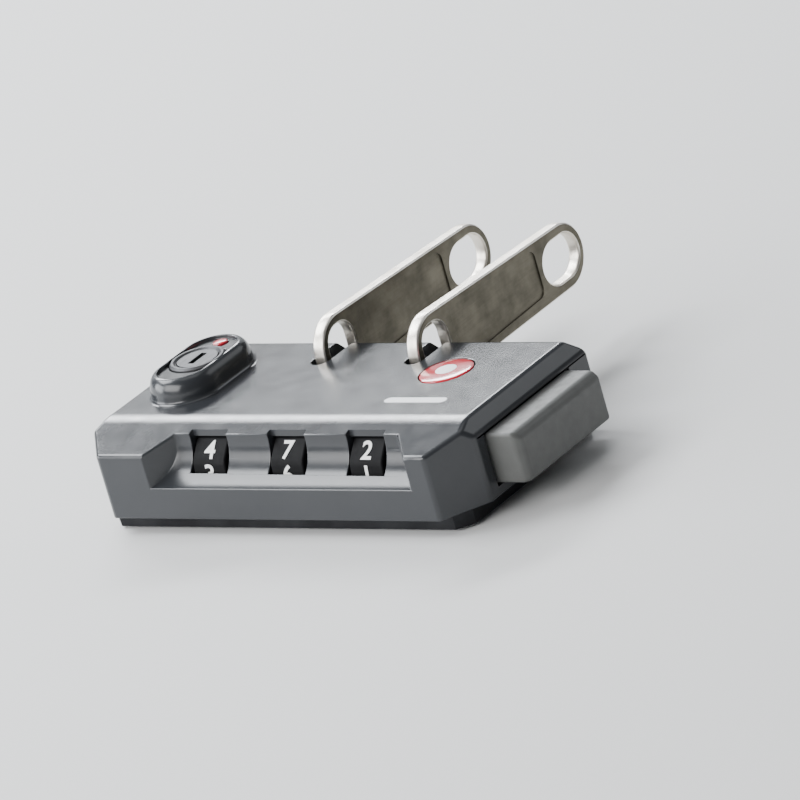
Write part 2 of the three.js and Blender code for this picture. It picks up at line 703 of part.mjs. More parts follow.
const WAFER_Z = [6.2, 7.8, 9.4, 11];
const WAFER = { thick: 0.6, halfWidth: 0.95, halfLength: 2, keyHalfWidth: 0.45, keyHalfLength: 1.55 };
function waferBox(z, grow) {
  const { x, y } = CYLINDER;
  return box(
    [x - WAFER.halfWidth - grow, x + WAFER.halfWidth + grow],
    [y - WAFER.halfLength - grow, y + WAFER.halfLength + grow],
    [z - grow, z + WAFER.thick + grow],
  );
}
const keyway = (low) =>
  box(
    [CYLINDER.x - WAFER.keyHalfWidth, CYLINDER.x + WAFER.keyHalfWidth],
    [CYLINDER.y - WAFER.keyHalfLength, CYLINDER.y + WAFER.keyHalfLength],
    [low, CYLINDER.top + 1],
  );
const CLIP = { bore: 2.25, rim: 3.3, low: 5.05, high: 5.4 };

function squareStub(half, low, high) {
  const { x, y } = CYLINDER;
  return box([x - half, x + half], [y - half, y + half], [low, high]);
}

function cylinderPlug() {
  const { x, y, plug, top } = CYLINDER;
  const groove = post(x, y, plug + 1, CLIP.low - 0.1, CLIP.high + 0.1, ROUND).subtract(
    post(x, y, CLIP.bore - 0.1, CLIP.low - 1, CLIP.high + 1, ROUND),
  );
  let made = post(x, y, plug, PLUG_LOW, top, ROUND)
    .subtract(groove)
    .add(squareStub(CAM.square, CAM.low + 0.1, PLUG_LOW + 0.1))
    .subtract(keyway(WAFER_Z[0] - 0.3));
  for (const z of WAFER_Z) made = made.subtract(waferBox(z, 0.12));
  return made;
}
place("cylinder_plug", cylinderPlug(), STEEL);
WAFER_Z.forEach((z, i) => place(`wafer_${i + 1}`, waferBox(z, 0).subtract(keyway(0)), BRASS));

// The open ring that holds the plug in its bore.
function plugClip() {
  const { x, y } = CYLINDER;
  return post(x, y, CLIP.rim, CLIP.low, CLIP.high, ROUND)
    .subtract(post(x, y, CLIP.bore, CLIP.low - 1, CLIP.high + 1, ROUND))
    .subtract(box([x - 1, x + 1], [y - CLIP.rim - 1, y], [CLIP.low - 1, CLIP.high + 1]));
}
place("plug_clip", plugClip(), STEEL);

// The cam on the plug's square end; its pin reaches down into the fence's slot.
function keyCam() {
  const { x, y } = CYLINDER;
  return post(x, y, CAM.radius, CAM.low, CAM.high, ROUND)
    .subtract(squareStub(CAM.square + 0.1, CAM.low - 1, CAM.high + 1))
    .add(post(PIN.x, PIN.y, CAM.pin, FENCE.low, CAM.low + 0.1));
}
place("key_cam", keyCam(), BRASS);

// ---------------------------------------------------------------- zip pullers
function roundedBox(y, z, corner) {
  const shape = new THREE.Shape();
  const quarter = Math.PI / 2;
  shape.absarc(y[1] - corner, z[1] - corner, corner, 0, quarter, false);
  shape.absarc(y[0] + corner, z[1] - corner, corner, quarter, 2 * quarter, false);
  shape.absarc(y[0] + corner, z[0] + corner, corner, 2 * quarter, 3 * quarter, false);
  shape.absarc(y[1] - corner, z[0] + corner, corner, 3 * quarter, 4 * quarter, false);
  return shape;
}

// A flat plate on edge: a deep tip with a hole for the latch, a tapering web and a round end with an eye.
function zipperPuller(x) {
  const { thickness, nearTop, farEnd, round, toe, toeRadius, heel } = PULLER;
  const half = thickness / 2;
  const quarter = Math.PI / 2;
  const droop = Math.atan2(nearTop[1] - farEnd[1], farEnd[0] - nearTop[0]); // the top edge falls to the back
  const plate = new THREE.Shape();
  plate.absarc(...nearTop, round, quarter - droop, 2 * quarter, false);
  plate.absarc(...toe, toeRadius, 2 * quarter, 3 * quarter, false);
  plate.quadraticCurveTo(toe[0] + 2, toe[1] - toeRadius, ...heel);
  plate.absarc(...farEnd, round, -quarter, quarter - droop, false);
  const eye = new THREE.Shape();
  eye.absarc(EYE.y + EYE.halfLength, EYE.z, EYE.radius, -quarter, quarter, false);
  eye.absarc(EYE.y - EYE.halfLength, EYE.z, EYE.radius, quarter, 3 * quarter, false);
  return lying(plate, x - half, x + half)
    .subtract(lying(roundedBox(HOOK_HOLE.y, HOOK_HOLE.z, HOOK_HOLE.corner), x - half - 1, x + half + 1))
    .subtract(lying(eye, x - half - 1, x + half + 1));
}
PULLER_X.forEach((x, i) => place(`zipper_puller_${i + 1}`, zipperPuller(x), GUNMETAL));

// ---------------------------------------------------------------- badge and key position dot
place(
  "status_badge",
  post(BADGE.x, BADGE.y, BADGE.radius, COVER.height - BADGE.pocket + 0.05, COVER.height + 0.1, ROUND),
  RED_ENAMEL,
);
place("position_dot", post(CYLINDER.x, DOT.y, DOT.radius, BOSS.top - 0.8, BOSS.top + 0.05), RED_ENAMEL);

lock.position.z = FOOT;

export default lock;
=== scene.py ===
import math

import bmesh
import bpy
from mathutils import Matrix, Vector


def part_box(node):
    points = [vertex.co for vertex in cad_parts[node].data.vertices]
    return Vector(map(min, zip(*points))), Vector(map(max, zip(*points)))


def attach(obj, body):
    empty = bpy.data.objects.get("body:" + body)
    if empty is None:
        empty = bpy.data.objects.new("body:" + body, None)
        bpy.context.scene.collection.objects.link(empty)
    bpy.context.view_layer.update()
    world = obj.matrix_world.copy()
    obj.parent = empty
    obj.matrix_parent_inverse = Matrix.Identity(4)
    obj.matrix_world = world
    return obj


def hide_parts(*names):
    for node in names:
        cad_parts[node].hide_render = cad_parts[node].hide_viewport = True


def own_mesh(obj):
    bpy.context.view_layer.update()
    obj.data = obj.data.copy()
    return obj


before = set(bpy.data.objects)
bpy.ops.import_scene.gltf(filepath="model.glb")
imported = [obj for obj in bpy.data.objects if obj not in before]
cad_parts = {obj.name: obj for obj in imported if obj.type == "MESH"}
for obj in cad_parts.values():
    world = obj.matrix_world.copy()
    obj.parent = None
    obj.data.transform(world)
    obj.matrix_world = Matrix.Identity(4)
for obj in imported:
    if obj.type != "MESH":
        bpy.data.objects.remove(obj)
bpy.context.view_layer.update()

# ---------------------------------------------------------------- sizes, in millimetres of the frame
MM = 0.001
TAU = 2 * math.pi


def span(node):
    """A CAD node's lowest and highest corners, in millimetres."""
    low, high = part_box(node)
    return Vector(low) / MM, Vector(high) / MM


COVER_LOW, COVER_HIGH = span("top_cover")
BUTTON_LOW, BUTTON_HIGH = span("push_button")
PLUG_LOW, PLUG_HIGH = span("cylinder_plug")
BADGE_LOW, BADGE_HIGH = span("status_badge")
DOT_LOW, DOT_HIGH = span("position_dot")
DIALS = [span(f"dial_wheel_{i}") for i in (1, 2, 3)]
PULLERS = [span(f"zipper_puller_{i}") for i in (1, 2)]

HALF_WIDTH = COVER_HIGH.x
FRONT, BACK = COVER_LOW.y, COVER_HIGH.y
RIM = COVER_LOW.z  # the cover's lower rim
BOSS_TOP = COVER_HIGH.z
TOP = BADGE_HIGH.z - 0.1  # the top plate
WALL = 1.4
CEILING = TOP - WALL
TOP_FRONT = FRONT + 6.6  # the ridge between the top plate and the front bevel
BEVEL_DROP = 2.1
SIDE_BEVEL = 1.4
SIDE_DROP = 2.0
BACK_BEVEL = 2.0
RIDGE_ROUNDING = 1.2
OUTER_SHARE = 0.42  # of the ridge's rounding, on the other outer edges
RIM_SHARE = 0.15
HALF_FRONT = HALF_WIDTH - 4.0
CORNER_RUN = 5.5
INNER_SIDE = HALF_WIDTH - WALL
INNER_BACK = BACK - WALL
NOSE_BACK = -4.6  # the cover is solid in front of this
NOSE_FLOOR = RIM + 3.4

DIAL_AXIS = (DIALS[0][0] + DIALS[0][1]) / 2
DIAL_X = [(low.x + high.x) / 2 for low, high in DIALS]
DIAL_RADIUS = 5.0
DIAL_WIDTH = DIALS[0][1].x - DIALS[0][0].x
DIAL_BORE = 3.05
DIAL_FACES = 10
DIAL_STEP = TAU / DIAL_FACES
DIAL_FLAT = DIAL_RADIUS * math.cos(DIAL_STEP / 2)  # from the axis to a number's face
FACE_PHASE = math.radians(7)  # how far above level the lowest number's face in view is
DIGIT_HEIGHT = 2.3
DIGIT_THICK = 0.035
CAP_SHARE = 0.7  # of the font's size that a number's height takes
BAY_RADIUS = 5.25
BAY_HALF = DIAL_WIDTH / 2 + 0.3
NOTCH = (FRONT + 3.3, FRONT + 4.6)
NOTCH_DEPTH = 2.1
CLUTCH_BAY = (-21.0, 23.5, 3.5)  # left, right and radius
RESET_HOLE_RADIUS = 1.7
GROOVE_HALF = 20.0
GROOVE_CENTRE = (FRONT - 1.4, TOP - 1.4)
GROOVE_RADIUS = 5.224
GROOVE_ARC = (5.5, -74.5)  # from the upper lip to the lower one, in degrees
GROOVE_END_SLANT = 3.4
GROOVE_DEPTH = 4.3

PLUG = (PLUG_LOW + PLUG_HIGH) / 2
PLUG_RADIUS = 2.6
KEYWAY = (0.45, 1.55)  # half its width and half its length
NECK_RADIUS = 3.6
BOSS_RADIUS = 4.7
BOSS_HALF_LINE = 3.0
BOSS_LIP = 1.35  # from the boss's outline to its dish
DISH_DEPTH = 0.45
BADGE = (BADGE_LOW + BADGE_HIGH) / 2
BADGE_RADIUS = 3.4
BADGE_MARK_RADIUS = 1.35
BAR = (16.7, -4.7, 4.6, 0.68)  # x, y, half its length, radius of its ends
DOT = (DOT_LOW + DOT_HIGH) / 2
DOT_RADIUS = 0.95

BUTTON_INNER = 27.3
BUTTON_FRONT = BUTTON_LOW.y + 0.9
BUTTON_BACK = BUTTON_HIGH.y
BUTTON_TOP = BUTTON_HIGH.z - 0.9
BUTTON_WALL = 1.3
BUTTON_CHAMFER = 0.8
BUTTON_GAP = 0.25
BUTTON_STOP = (25.6, 26.8)  # the lip and the tongue that hold the button in
BUTTON_TONGUE = (6.4, 9.0)
BUTTON_RIB = (0.6, 3.6)
BUTTON_LIP_LOW = 8.6
LATCH_LOW = 8.9

PULLER_X = [(low.x + high.x) / 2 for low, high in PULLERS]
PULLER_LOW, PULLER_HIGH = PULLERS[0]
PULLER_ROUND = 4.2  # radius of both upper corners
PULLER_NEAR = (PULLER_LOW.y + PULLER_ROUND, PULLER_HIGH.z - PULLER_ROUND)
PULLER_FAR = (PULLER_HIGH.y - PULLER_ROUND, PULLER_HIGH.z - PULLER_ROUND - 1.1)
PULLER_TOE_RADIUS = 3.4
PULLER_TOE = (PULLER_LOW.y + PULLER_TOE_RADIUS, PULLER_LOW.z + PULLER_TOE_RADIUS)
PULLER_HEEL = (PULLER_LOW.y + 7.8, PULLER_LOW.z + 0.9)
HOOK_HOLE = ((7.9, 13.1), (8.2, 15.6), 2.4)
EYE = (37.9, 11.6, 1.0, 2.8)  # y, z, half the straight part, radius
FIELD = (PULLER_LOW.y + 8.0, EYE[0] - EYE[2] - EYE[3] - 1.1)  # from the hook's hole to the eye
FIELD_DEPTH = 0.2
SLOT_HALF = 1.25
SLOT_FRONT = 5.4
SLOT_FLOOR = 5.4
SLOT_SILL = 6.6
SLOT_WALL = 0.85
LATCH_WINDOW = (2.2, 9.25, 11.75)  # half its width, front and back


# piece, CAD node, body, joint, axis, moving end, wire's radius, turns, the joint's travel
SPRINGS = (
    ("reset_coil", "shaft_spring", "shaft", "reset_push", 0, 0, 0.22, 4, 1.5),
    ("latch_coil", "latch_spring", "latch", "latch_slide", 0, 1, 0.2, 6, 3.5),
    ("fence_coil", "fence_spring", "fence", "fence_slide", 1, 0, 0.2, 5, 2.12),
)

NUMBERS_SHOWN = (4, 7, 2)

# the camera's sideways and upright directions, and in metres what it looks at and how far away it is
VIEW_RIGHT = (0.791, 0.5525, -0.262)
VIEW_UP = (0, 0.428, 0.9035)
VIEW_TARGET = (0.0035, 0.008, 0.0065)
VIEW_DISTANCE = 1.08
LENS = 400


# ---------------------------------------------------------------- mesh helpers
def prism(points, axis, low, high):
    """A closed prism of a 2-D outline. axis "x" takes (y, z), "y" takes (x, z) and "z" takes (x, y)."""
    place = {
        "x": lambda p, t: (t, p[0], p[1]),
        "y": lambda p, t: (p[0], t, p[1]),
        "z": lambda p, t: (p[0], p[1], t),
    }[axis]
    bm = bmesh.new()
    bottom = [bm.verts.new(place(p, low)) for p in points]
    top = [bm.verts.new(place(p, high)) for p in points]
    bm.faces.new(bottom)
    bm.faces.new(top)
    for i in range(len(points)):
        j = (i + 1) % len(points)
        bm.faces.new((bottom[i], bottom[j], top[j], top[i]))
    bmesh.ops.recalc_face_normals(bm, faces=bm.faces)
    return bm


def block(low, high):
    corners = [(low[0], low[1]), (high[0], low[1]), (high[0], high[1]), (low[0], high[1])]
    return prism(corners, "z", low[2], high[2])


def arc(centre, radius, start, end, steps):
    """Points on an arc, with its angles in degrees."""
    made = []
    for i in range(steps + 1):
        angle = math.radians(start + (end - start) * i / steps)
        made.append((centre[0] + radius * math.cos(angle), centre[1] + radius * math.sin(angle)))
    return made


def round_bar(axis, centre, radius, low, high, sides=64):
    return prism(arc(centre, radius, 0, 360 - 360 / sides, sides - 1), axis, low, high)


def stadium(x, y, half_line, radius, steps=24):
    """A stadium in plan, long way along Y."""
    return arc((x, y + half_line), radius, 0, 180, steps) + arc((x, y - half_line), radius, 180, 360, steps)


def turned(profile, x, y, sides=64):
    """A turned piece about a vertical axis; the profile is (radius, z) from the axis and back to it."""
    bm = bmesh.new()
    rings = []
    for radius, z in profile:
        if radius < 1e-6:
            rings.append([bm.verts.new((x, y, z))])
            continue
        ring = [(p[0], p[1], z) for p in arc((x, y), radius, 0, 360 - 360 / sides, sides - 1)]
        rings.append([bm.verts.new(p) for p in ring])
    for lower, upper in zip(rings, rings[1:]):
        for i in range(sides):
            j = (i + 1) % sides
            corners = [(lower, i), (lower, j), (upper, j), (upper, i)]
            face = list(dict.fromkeys(ring[k % len(ring)] for ring, k in corners))
            if len(face) > 2:
                bm.faces.new(face)
    bmesh.ops.recalc_face_normals(bm, faces=bm.faces)
    return bm


def lofted(rings):
    """A closed solid through flat outlines that all have the same number of points."""
    bm = bmesh.new()
    layers = [[bm.verts.new(p) for p in ring] for ring in rings]
    bm.faces.new(layers[0])
    bm.faces.new(layers[-1])
    count = len(layers[0])
    for lower, upper in zip(layers, layers[1:]):
        for i in range(count):
            j = (i + 1) % count
            bm.faces.new((lower[i], lower[j], upper[j], upper[i]))
    bmesh.ops.recalc_face_normals(bm, faces=bm.faces)
    return bm


def to_object(bm, name):
    mesh = bpy.data.meshes.new(name)
    bm.to_mesh(mesh)
    bm.free()
    made = bpy.data.objects.new(name, mesh)
    bpy.context.scene.collection.objects.link(made)
    return made


def deleted(obj):
    mesh = obj.data
    bpy.data.objects.remove(obj)
    bpy.data.meshes.remove(mesh)


def baked(obj):
    """A bmesh of the object with its modifiers applied; the object is deleted."""
    graph = bpy.context.evaluated_depsgraph_get()
    bm = bmesh.new()
    bm.from_object(obj, graph)
    deleted(obj)
    return bm


def boolean(bm, tools, operation="DIFFERENCE"):
    """bm cut by, or joined with, each of the tools in turn."""
    for tool in tools:
        target = to_object(bm, "target")
        other = to_object(tool, "tool")
        modifier = target.modifiers.new("cut", "BOOLEAN")
        modifier.operation = operation
        modifier.solver = "EXACT"
        modifier.object = other
        bpy.context.view_layer.update()
        bm = baked(target)
        deleted(other)
    return bm


def tidy(bm):
    """Joins doubled points and flattens what is flat."""
    bmesh.ops.remove_doubles(bm, verts=bm.verts, dist=0.004)
    bmesh.ops.dissolve_limit(bm, angle_limit=math.radians(0.5), verts=bm.verts, edges=bm.edges)
    return bm


def sharp_edges(bm, angle=32, where=lambda p: True):
    limit = math.radians(angle)
    found = []
    for edge in bm.edges:
        if len(edge.link_faces) != 2 or edge.calc_face_angle(0) < limit:
            continue
        if where((edge.verts[0].co + edge.verts[1].co) / 2):
            found.append(edge)
    return found


def round_edges(bm, width, segments=3, angle=32, where=lambda p: True, clamp=False):
    edges = sharp_edges(bm, angle, where)
    bmesh.ops.bevel(
        bm, geom=edges, offset=width, segments=segments, profile=0.5, affect="EDGES", clamp_overlap=clamp,
        face_strength_mode="AFFECTED",
    )
    bmesh.ops.remove_doubles(bm, verts=bm.verts, dist=0.002)
    return bm


def finish_piece(bm, name, body, materials, replaces=(), smooth=30):
    """Turns millimetres into metres, sets the shading, and hands the piece to the frame."""
    bmesh.ops.scale(bm, vec=(MM, MM, MM), verts=bm.verts)
    bmesh.ops.recalc_face_normals(bm, faces=bm.faces)
    for face in bm.faces:
        face.smooth = True
    piece = to_object(bm, name)
    piece.data.set_sharp_from_angle(angle=math.radians(smooth))
    weighted = piece.modifiers.new("weighted_normals", "WEIGHTED_NORMAL")
    weighted.keep_sharp = True
    weighted.use_face_influence = True
    for material in materials if isinstance(materials, (list, tuple)) else [materials]:
        piece.data.materials.append(material)
    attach(piece, body)
    if replaces:
        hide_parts(*replaces)
    return piece


# ---------------------------------------------------------------- materials
def new_material(name, color, roughness, metallic=0.0):
    """A material with its node tree and its shader."""
    material = bpy.data.materials.new(name)
    material.use_nodes = True
    nodes = material.node_tree.nodes
    shader = nodes["Principled BSDF"]
    shader.inputs["Base Color"].default_value = (*color, 1)
    shader.inputs["Roughness"].default_value = roughness
    shader.inputs["Metallic"].default_value = metallic
    return material, material.node_tree, shader


def noise(tree, scale, detail, stretch=(1, 1, 1)):
    """A noise value whose scale is in cycles per metre."""
    coordinates = tree.nodes.new("ShaderNodeTexCoord")
    mapping = tree.nodes.new("ShaderNodeMapping")
    mapping.inputs["Scale"].default_value = stretch
    texture = tree.nodes.new("ShaderNodeTexNoise")
    texture.inputs["Scale"].default_value = scale
    texture.inputs["Detail"].default_value = detail
    texture.inputs["Roughness"].default_value = 0.55
    tree.links.new(coordinates.outputs["Object"], mapping.inputs["Vector"])
    tree.links.new(mapping.outputs["Vector"], texture.inputs["Vector"])
    return texture.outputs["Fac"]


def ramp(tree, source, low, high, start, end):
    """Maps the source from [start, end] to two colours or two grey levels."""
    node = tree.nodes.new("ShaderNodeValToRGB")
    stops = node.color_ramp.elements
    stops[0].position = start
    stops[1].position = end
    stops[0].color = (*low, 1) if isinstance(low, tuple) else (low, low, low, 1)
    stops[1].color = (*high, 1) if isinstance(high, tuple) else (high, high, high, 1)
    tree.links.new(source, node.inputs["Fac"])
    return node.outputs["Color"]


def mix_color(tree, factor, first, second):
    node = tree.nodes.new("ShaderNodeMix")
    node.data_type = "RGBA"
    tree.links.new(factor, node.inputs["Factor"])
    for value, socket in ((first, node.inputs["A"]), (second, node.inputs["B"])):
        if isinstance(value, tuple):
            socket.default_value = (*value, 1)
        else:
            tree.links.new(value, socket)
    return node.outputs["Result"]


def bump(tree, shader, source, depth, strength):
    """Bump of the given depth in metres."""
    node = tree.nodes.new("ShaderNodeBump")
    node.inputs["Strength"].default_value = strength
    node.inputs["Distance"].default_value = depth
    tree.links.new(source, node.inputs["Height"])
    tree.links.new(node.outputs["Normal"], shader.inputs["Normal"])


def edge_mask(tree, start, end):
    """0 on flat ground and 1 on a proud edge."""
    geometry = tree.nodes.new("ShaderNodeNewGeometry")
    return ramp(tree, geometry.outputs["Pointiness"], 0.0, 1.0, start, end)


def satin_paint():
    """Black paint over a zinc casting: faint orange peel, cloudy gloss and worn edges."""
    material, tree, shader = new_material("satin_black_paint", (0.026, 0.028, 0.031), 0.22)
    base = mix_color(tree, noise(tree, 160, 3), (0.022, 0.024, 0.027), (0.031, 0.033, 0.037))
    worn = edge_mask(tree, 0.60, 0.70)
    base = mix_color(tree, worn, base, (0.10, 0.105, 0.115))
    tree.links.new(base, shader.inputs["Base Color"])
    tree.links.new(ramp(tree, noise(tree, 420, 5), 0.19, 0.25, 0.3, 0.75), shader.inputs["Roughness"])
    bump(tree, shader, noise(tree, 2600, 2), 0.000008, 0.5)
    return material


def moulded_plastic(name, color, rough, grain=2200, depth=0.00002, specular=0.5):
    """Moulded plastic with a spark-eroded grain."""
    material, tree, shader = new_material(name, color, rough)
    shader.inputs["Specular IOR Level"].default_value = specular
    low = tuple(c * 0.82 for c in color)
    high = tuple(min(1, c * 1.22) for c in color)
    tree.links.new(mix_color(tree, noise(tree, 300, 3), low, high), shader.inputs["Base Color"])
    gloss = ramp(tree, noise(tree, 900, 4), rough - 0.06, rough + 0.08, 0.3, 0.7)
    tree.links.new(gloss, shader.inputs["Roughness"])
    bump(tree, shader, noise(tree, grain, 2), depth, 0.6)
    return material


def plated_metal(name, color, dark, rough, worn=True):
    """Plated metal with a drawn grain along Y, clouded tone and bright rubbed edges."""
    material, tree, shader = new_material(name, color, rough, 1.0)
    tone = mix_color(tree, ramp(tree, noise(tree, 240, 4), 0.0, 1.0, 0.35, 0.7), dark, color)
    if worn:
        bright = tuple(min(1, c * 1.35) for c in color)
        tone = mix_color(tree, edge_mask(tree, 0.52, 0.58), tone, bright)
    tree.links.new(tone, shader.inputs["Base Color"])
    grain = noise(tree, 5200, 3, (1, 0.06, 1))
    tree.links.new(ramp(tree, grain, rough - 0.07, rough + 0.1, 0.3, 0.7), shader.inputs["Roughness"])
    bump(tree, shader, grain, 0.000006, 0.35)
    return material


def enamel(name, color):
    """Glossy enamel under a clear coat, faintly wavy."""
    material, tree, shader = new_material(name, color, 0.16)
    shader.inputs["Coat Weight"].default_value = 0.6
    shader.inputs["Coat Roughness"].default_value = 0.06
    low = tuple(c * 0.85 for c in color)
    tree.links.new(mix_color(tree, noise(tree, 700, 4), low, color), shader.inputs["Base Color"])
    tree.links.new(ramp(tree, noise(tree, 500, 2), 0.12, 0.24, 0.3, 0.7), shader.inputs["Roughness"])
    bump(tree, shader, noise(tree, 900, 2), 0.000006, 0.3)
    return material


def print_paint(name, color):
    """Pad-printed or filled paint, a little uneven."""
    material, tree, shader = new_material(name, color, 0.5)
    low = tuple(c * 0.86 for c in color)
    tree.links.new(mix_color(tree, noise(tree, 2500, 4), low, color), shader.inputs["Base Color"])
    tree.links.new(ramp(tree, noise(tree, 1800, 3), 0.42, 0.6, 0.3, 0.7), shader.inputs["Roughness"])
    bump(tree, shader, noise(tree, 4000, 2), 0.000004, 0.4)
    return material


PAINT = satin_paint()
BUTTON_PLASTIC = moulded_plastic("button_plastic", (0.085, 0.087, 0.083), 0.5)
CHASSIS_PLASTIC = moulded_plastic("chassis_plastic", (0.022, 0.023, 0.024), 0.55)
DIAL_PLASTIC = moulded_plastic("dial_plastic", (0.004, 0.004, 0.0045), 0.6, 3200, 0.000008, 0.1)
NICKEL = plated_metal("antique_nickel", (0.88, 0.83, 0.75), (0.68, 0.63, 0.55), 0.34)
# A dark copy of the nickel for the pullers' broad faces and sunk fields: painted shade.
SHADED_NICKEL = plated_metal("antique_nickel_painted_shade", (0.17, 0.155, 0.12), (0.09, 0.082, 0.062), 0.42, worn=False)
STEEL = plated_metal("zinc_plated_steel", (0.62, 0.63, 0.64), (0.50, 0.51, 0.53), 0.34)
BRASS = plated_metal("turned_brass", (0.72, 0.55, 0.28), (0.58, 0.42, 0.2), 0.32)
BLACK_ZINC = plated_metal("black_zinc_steel", (0.035, 0.036, 0.038), (0.022, 0.022, 0.024), 0.45, worn=False)
CYLINDER_METAL = plated_metal("cylinder_black_nickel", (0.07, 0.07, 0.073), (0.03, 0.03, 0.032), 0.5)
RED = enamel("red_enamel", (0.56, 0.018, 0.035))
WHITE_INK = print_paint("white_ink", (0.93, 0.94, 0.96))
NUMBER_PAINT = print_paint("number_paint", (0.82, 0.82, 0.8))


# ---------------------------------------------------------------- top cover
def sliced(bm, point, normal):
    """Cuts away what lies beyond a plane and closes the cut."""
    cut = bmesh.ops.bisect_plane(
        bm,
        geom=bm.verts[:] + bm.edges[:] + bm.faces[:],
        plane_co=point,
        plane_no=normal,
        clear_outer=True,
        dist=1e-4,
    )
    edges = [e for e in cut["geom_cut"] if isinstance(e, bmesh.types.BMEdge)]
    bmesh.ops.contextual_create(bm, geom=edges)
    bmesh.ops.recalc_face_normals(bm, faces=bm.faces)


def cover_plan(inset=0.0):
    """The cover's outline with its cut front corners, moved in by inset."""
    side = HALF_WIDTH - inset
    front, back = FRONT + inset, BACK - inset
    half_front = HALF_FRONT - inset * 0.55
    corner = FRONT + CORNER_RUN - inset * 0.4
    right = [(half_front, front), (side, corner), (side, back)]
    return right + [(-x, y) for x, y in reversed(right)]


def edge_weight(edge):
    """How much of the full rounding an outer edge of the cover gets."""
    middle = (edge.verts[0].co + edge.verts[1].co) / 2
    if middle.z < RIM + 0.1:
        return RIM_SHARE
    if abs(middle.z - TOP) < 0.01 and abs(middle.y - TOP_FRONT) < 0.3:
        return 1.0
    return OUTER_SHARE


def cover_blank():
    """The outside of the cover: a bevelled block with every outer edge rounded, the front ridge the most."""
    bm = prism(cover_plan(), "z", RIM, TOP)
    sliced(bm, (0, TOP_FRONT, TOP), (0, -BEVEL_DROP, TOP_FRONT - FRONT))
    sliced(bm, (0, BACK - BACK_BEVEL, TOP), (0, 1, 1))
    for side in (-1, 1):
        sliced(bm, (side * (HALF_WIDTH - SIDE_BEVEL), 0, TOP), (side * SIDE_DROP, 0, SIDE_BEVEL))
    weight = bm.edges.layers.float.new("bevel_weight_edge")
    for edge in bm.edges:
        edge[weight] = edge_weight(edge)
    blank = to_object(bm, "blank")
    modifier = blank.modifiers.new("round", "BEVEL")
    modifier.limit_method = "WEIGHT"
    modifier.width = RIDGE_ROUNDING
    modifier.segments = 5
    bpy.context.view_layer.update()
    return baked(blank)


def groove_cutter():
    """The round-backed groove across the front that the dials show in, with slanted ends."""
    profile = arc(GROOVE_CENTRE, GROOVE_RADIUS, *GROOVE_ARC, 24)
    profile += [(FRONT - 2, profile[-1][1]), (FRONT - 2, TOP + 1), (profile[0][0], TOP + 1)]
    middle = DIAL_X[1]
    bm = prism(profile, "x", middle - GROOVE_HALF, middle + GROOVE_HALF)
    for side in (-1, 1):
        end = (middle + side * GROOVE_HALF, FRONT, 0)
        sliced(bm, end, (side * GROOVE_DEPTH, GROOVE_END_SLANT, 0))
    return bm


def bay_cutter(left, right, radius):
    """A round bay about the dials' axis, open straight down."""
    axis = (DIAL_AXIS.y, DIAL_AXIS.z)
    low = RIM - 1
    outline = arc(axis, radius, 180, 0, 48) + [(axis[0] + radius, low), (axis[0] - radius, low)]
    return prism(outline, "x", left, right)


def inside_cutters():
    side = INNER_SIDE - 0.6
    return [
        prism(cover_plan(WALL), "z", RIM - 1, NOSE_FLOOR),
        block((-side, NOSE_BACK, RIM), (side, INNER_BACK, CEILING)),
        groove_cutter(),
    ]


def slot_cutters(x):
    """A puller's slot, with a round front end, and the windows for the latch's finger."""
    plan = arc((x, SLOT_FRONT + SLOT_HALF), SLOT_HALF, 180, 360, 12)
    plan += [(x + SLOT_HALF, INNER_BACK), (x - SLOT_HALF, INNER_BACK)]
    half, front, back = LATCH_WINDOW
    return [
        prism(plan, "z", SLOT_FLOOR, TOP + 1),
        block((x - SLOT_HALF, INNER_BACK - 0.1, SLOT_SILL), (x + SLOT_HALF, BACK + 1, TOP + 1)),
        block((x - half, front, LATCH_LOW - 0.3), (x + half, back, CEILING)),
    ]


def opening_cutters():
    """The dials' bays and notches, the holes for both buttons, and the holes in the top."""
    axis = (DIAL_AXIS.y, DIAL_AXIS.z)
    cuts = [bay_cutter(*CLUTCH_BAY)]
    for x in DIAL_X:
        cuts.append(bay_cutter(x - BAY_HALF, x + BAY_HALF, BAY_RADIUS))
        cuts.append(block((x - BAY_HALF, NOTCH[0], TOP - NOTCH_DEPTH), (x + BAY_HALF, NOTCH[1], TOP + 1)))
    cuts.append(round_bar("x", axis, RESET_HOLE_RADIUS, -HALF_WIDTH - 1, CLUTCH_BAY[0] + 0.1, 48))
    gap = BUTTON_GAP
    low, high = BUTTON_LOW.z - gap, BUTTON_TOP + gap
    cuts.append(block((26.6, BUTTON_FRONT - gap, low), (HALF_WIDTH + 1, BUTTON_BACK + gap, high)))
    cuts.append(block((21.7, BUTTON_FRONT - 1.2, low), (INNER_SIDE, BUTTON_BACK + gap, high)))
    cuts.append(round_bar("z", (BADGE.x, BADGE.y), BADGE_RADIUS + 0.15, TOP - 0.5, TOP + 1, 72))
    cuts.append(round_bar("z", (PLUG.x, PLUG.y), NECK_RADIUS + 0.1, CEILING - 1, TOP + 1, 72))
    return cuts


def seen_edge(p):
    """Whether a point is on the outside of the cover."""
    lid = p.z > TOP - 0.2 or (p.y > BACK - 2.5 and p.z > TOP - 2.5)
    return lid or p.y < FRONT + 4.6 or p.y > BACK - 0.2 or abs(p.x) > HALF_WIDTH - 0.2


def groove_edge(p):
    """Whether a point is on the groove's upper lip or its ends, clear of the notches above the dials."""
    over_dial = any(abs(p.x - x) < BAY_HALF + 0.1 for x in DIAL_X)
    within = abs(p.x - DIAL_X[1]) < GROOVE_HALF + 0.1
    return within and not over_dial and FRONT + 0.2 < p.y < FRONT + 4.2 and p.z > TOP - 2.6


